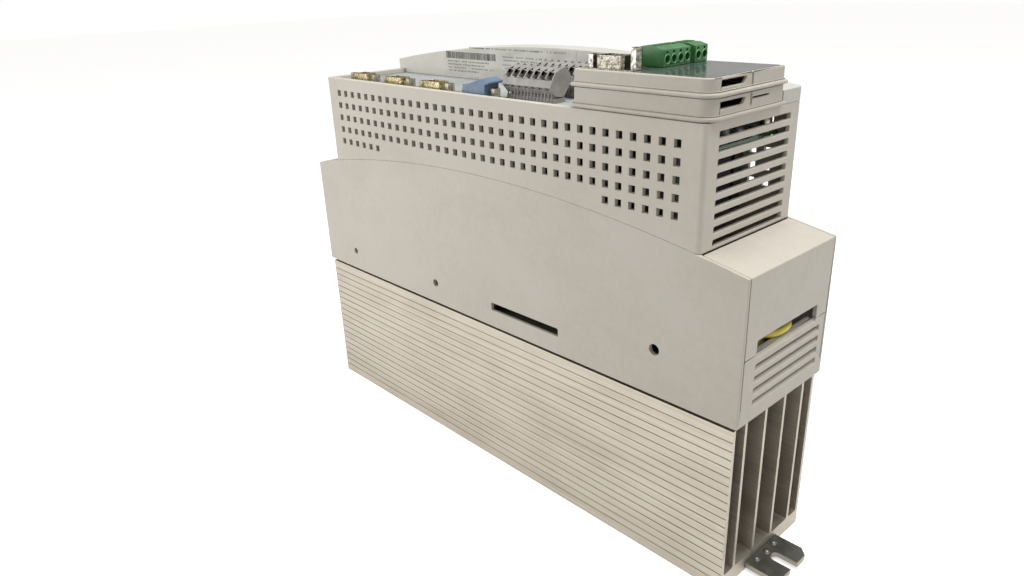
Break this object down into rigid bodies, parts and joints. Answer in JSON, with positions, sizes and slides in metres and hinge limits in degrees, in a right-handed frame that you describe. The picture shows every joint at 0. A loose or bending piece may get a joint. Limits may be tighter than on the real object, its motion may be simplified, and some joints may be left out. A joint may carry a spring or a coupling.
{
  "type": "servo drive",
  "caption": "Slim wall-mount servo drive on a finned heatsink, with perforated housing, curved terminal covers, plug-in communication module and pluggable terminals",
  "frame": {"origin": "middle of the back face of the heatsink, which is also the middle of the underside of the bounding box as the drive lies on its back", "axes": "+X along the length towards the mains end (upwards when the drive hangs in its cabinet), +Y towards the raised rating-plate wall, +Z out of the front"},
  "size_m": [0.384, 0.078, 0.2584],
  "materials": {
    "sink_aluminium": "extruded, satin",
    "zinc_steel": "passivated zinc",
    "housing_plastic": "fine moulded texture",
    "label_white": "printed label",
    "terminal_grey": "moulded",
    "screw_steel": "zinc plated",
    "brass_nickel": "nickel plated, worn",
    "subd_steel": "tin plated",
    "black_plastic": "moulded",
    "blue_plastic": "soft moulding",
    "green_plastic": "moulded",
    "film_grey": "glossy membrane",
    "board_green": "solder mask",
    "can_blue": "sleeved can",
    "relay_black": "moulded",
    "ferrite": "wound core",
    "pad_grey": "thermal pad",
    "lead_green_yellow": "PVC insulation",
    "ribbon_grey": "ribbon insulation",
    "light_panel": "fine moulded texture"
  },
  "bodies": {
    "drive": {"base_shroud": "housing_plastic", "board_link_sockets": "black_plastic", "board_screws": "screw_steel", "board_standoffs": "brass_nickel", "charge_relays": "relay_black", "control_board": "board_green", "control_screws": "screw_steel", "control_standoffs": "brass_nickel", "earth_lead": "lead_green_yellow", "earth_screws": "screw_steel", "front_panel": "light_panel", "heatsink": "sink_aluminium", "housing_screws": "screw_steel", "link_capacitors": "can_blue", "mains_choke": "ferrite", "mains_terminal_block": "terminal_grey", "mains_terminal_screws": "screw_steel", "module_socket": "black_plastic", "motor_terminal_block": "terminal_grey", "motor_terminal_screws": "screw_steel", "nameplate_wall": "housing_plastic", "power_board": "board_green", "power_module": "relay_black", "rating_label": "label_white", "rectifier_bridge": "relay_black", "ribbon_cable": "ribbon_grey", "subd_inserts": "black_plastic", "subd_jackscrews": "brass_nickel", "subd_shells": "subd_steel", "supply_transformer": "ferrite", "terminal_header_far": "terminal_grey", "terminal_header_near": "terminal_grey", "thermal_pad": "pad_grey", "upper_housing": "housing_plastic"},
    "bracket_top": {"fixing_bracket_top": "zinc_steel"},
    "bracket_bottom": {"fixing_bracket_bottom": "zinc_steel"},
    "mains_cover": {"mains_terminal_cover": "housing_plastic"},
    "motor_cover": {"motor_terminal_cover": "housing_plastic"},
    "cap": {"dust_cap": "blue_plastic"},
    "plug_near": {"terminal_plug_near": "terminal_grey", "terminal_screws_near": "screw_steel"},
    "plug_far": {"terminal_plug_far": "terminal_grey", "terminal_screws_far": "screw_steel"},
    "module": {"module_base": "housing_plastic", "module_lid": "housing_plastic", "module_film": "film_grey", "module_board": "board_green", "module_link": "black_plastic", "module_subd_shell": "subd_steel", "module_subd_insert": "black_plastic", "module_subd_jackscrews": "subd_steel", "green_header_4": "green_plastic", "green_header_2": "green_plastic"},
    "plug_four": {"green_plug_4": "green_plastic", "green_screws_4": "screw_steel"},
    "plug_two": {"green_plug_2": "green_plastic", "green_screws_2": "screw_steel"}
  },
  "joints": [
    {"name": "top_bracket_slide", "type": "slide", "parent": "drive", "child": "bracket_top", "axis": [1, 0, 0], "range_m": [0, 0.04]},
    {"name": "bottom_bracket_slide", "type": "slide", "parent": "drive", "child": "bracket_bottom", "axis": [-1, 0, 0], "range_m": [0, 0.04]},
    {"name": "mains_cover_slide", "type": "slide", "parent": "drive", "child": "mains_cover", "axis": [1, 0, 0], "range_m": [0, 0.05]},
    {"name": "motor_cover_slide", "type": "slide", "parent": "drive", "child": "motor_cover", "axis": [-1, 0, 0], "range_m": [0, 0.05]},
    {"name": "module_pull", "type": "slide", "parent": "drive", "child": "module", "axis": [0, 0, 1], "range_m": [0, 0.05]},
    {"name": "near_plug_pull", "type": "slide", "parent": "drive", "child": "plug_near", "axis": [0, 0, 1], "range_m": [0, 0.02]},
    {"name": "far_plug_pull", "type": "slide", "parent": "drive", "child": "plug_far", "axis": [0, 0, 1], "range_m": [0, 0.02]},
    {"name": "dust_cap_pull", "type": "slide", "parent": "drive", "child": "cap", "axis": [0, 0, 1], "range_m": [0, 0.015]},
    {"name": "green_plug_four_pull", "type": "slide", "parent": "module", "child": "plug_four", "axis": [0, 0, 1], "range_m": [0, 0.02]},
    {"name": "green_plug_two_pull", "type": "slide", "parent": "module", "child": "plug_two", "axis": [0, 0, 1], "range_m": [0, 0.02]}
  ]
}
